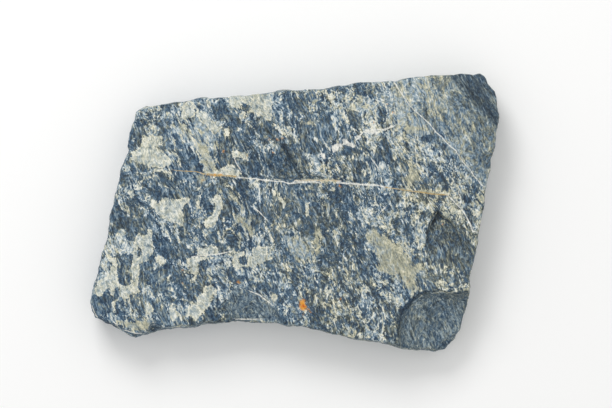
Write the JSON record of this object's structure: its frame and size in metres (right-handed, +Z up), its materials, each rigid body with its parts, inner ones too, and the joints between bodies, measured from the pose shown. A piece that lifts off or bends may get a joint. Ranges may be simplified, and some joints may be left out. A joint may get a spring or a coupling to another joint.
{
  "type": "marble slab",
  "caption": "Rough flat slab of streaked blue-grey marble, split along its beds, with broken sides, chipped corners and a crack across its face.",
  "frame": {"origin": "middle of the underside's bounding box, on the surface the slab lies on", "axes": "+X along the slab's length to the right, +Y to the far edge, +Z up out of the split face"},
  "size_m": [0.2448, 0.167, 0.0281],
  "materials": {
    "marble": "matt split stone, blue-grey with pale streaks and buff patches"
  },
  "bodies": {
    "root": {"marble_slab": "marble"}
  },
  "joints": []
}
